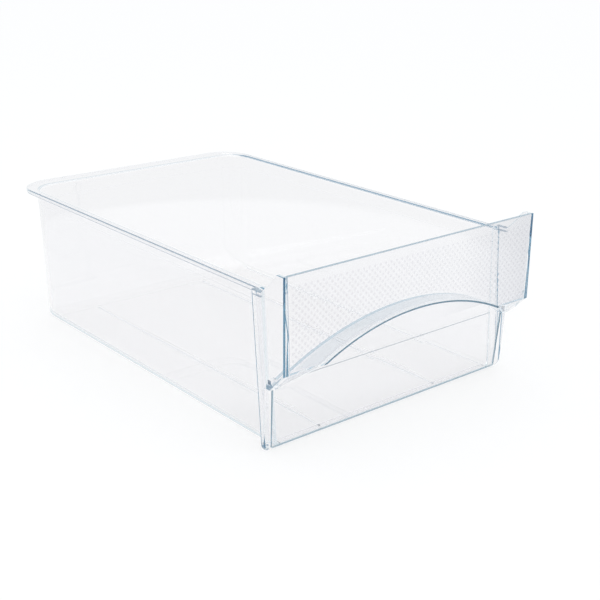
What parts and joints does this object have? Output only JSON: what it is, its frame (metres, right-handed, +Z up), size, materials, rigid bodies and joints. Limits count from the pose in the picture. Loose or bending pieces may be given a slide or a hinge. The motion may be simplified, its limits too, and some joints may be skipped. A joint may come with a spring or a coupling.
{
  "type": "crisper drawer",
  "caption": "Clear plastic fridge crisper drawer with a turned-down rim, a dotted front band and an arched finger recess.",
  "frame": {"origin": "middle of the footprint, on the surface that the drawer stands on", "axes": "+Z up, the front with the grip faces -Y, +X to the right seen from the front"},
  "size_m": [0.2576, 0.4106, 0.1402],
  "materials": {
    "clear_polystyrene": "gloss"
  },
  "bodies": {
    "root": {"tub": "clear_polystyrene", "front_panel": "clear_polystyrene"}
  },
  "joints": []
}
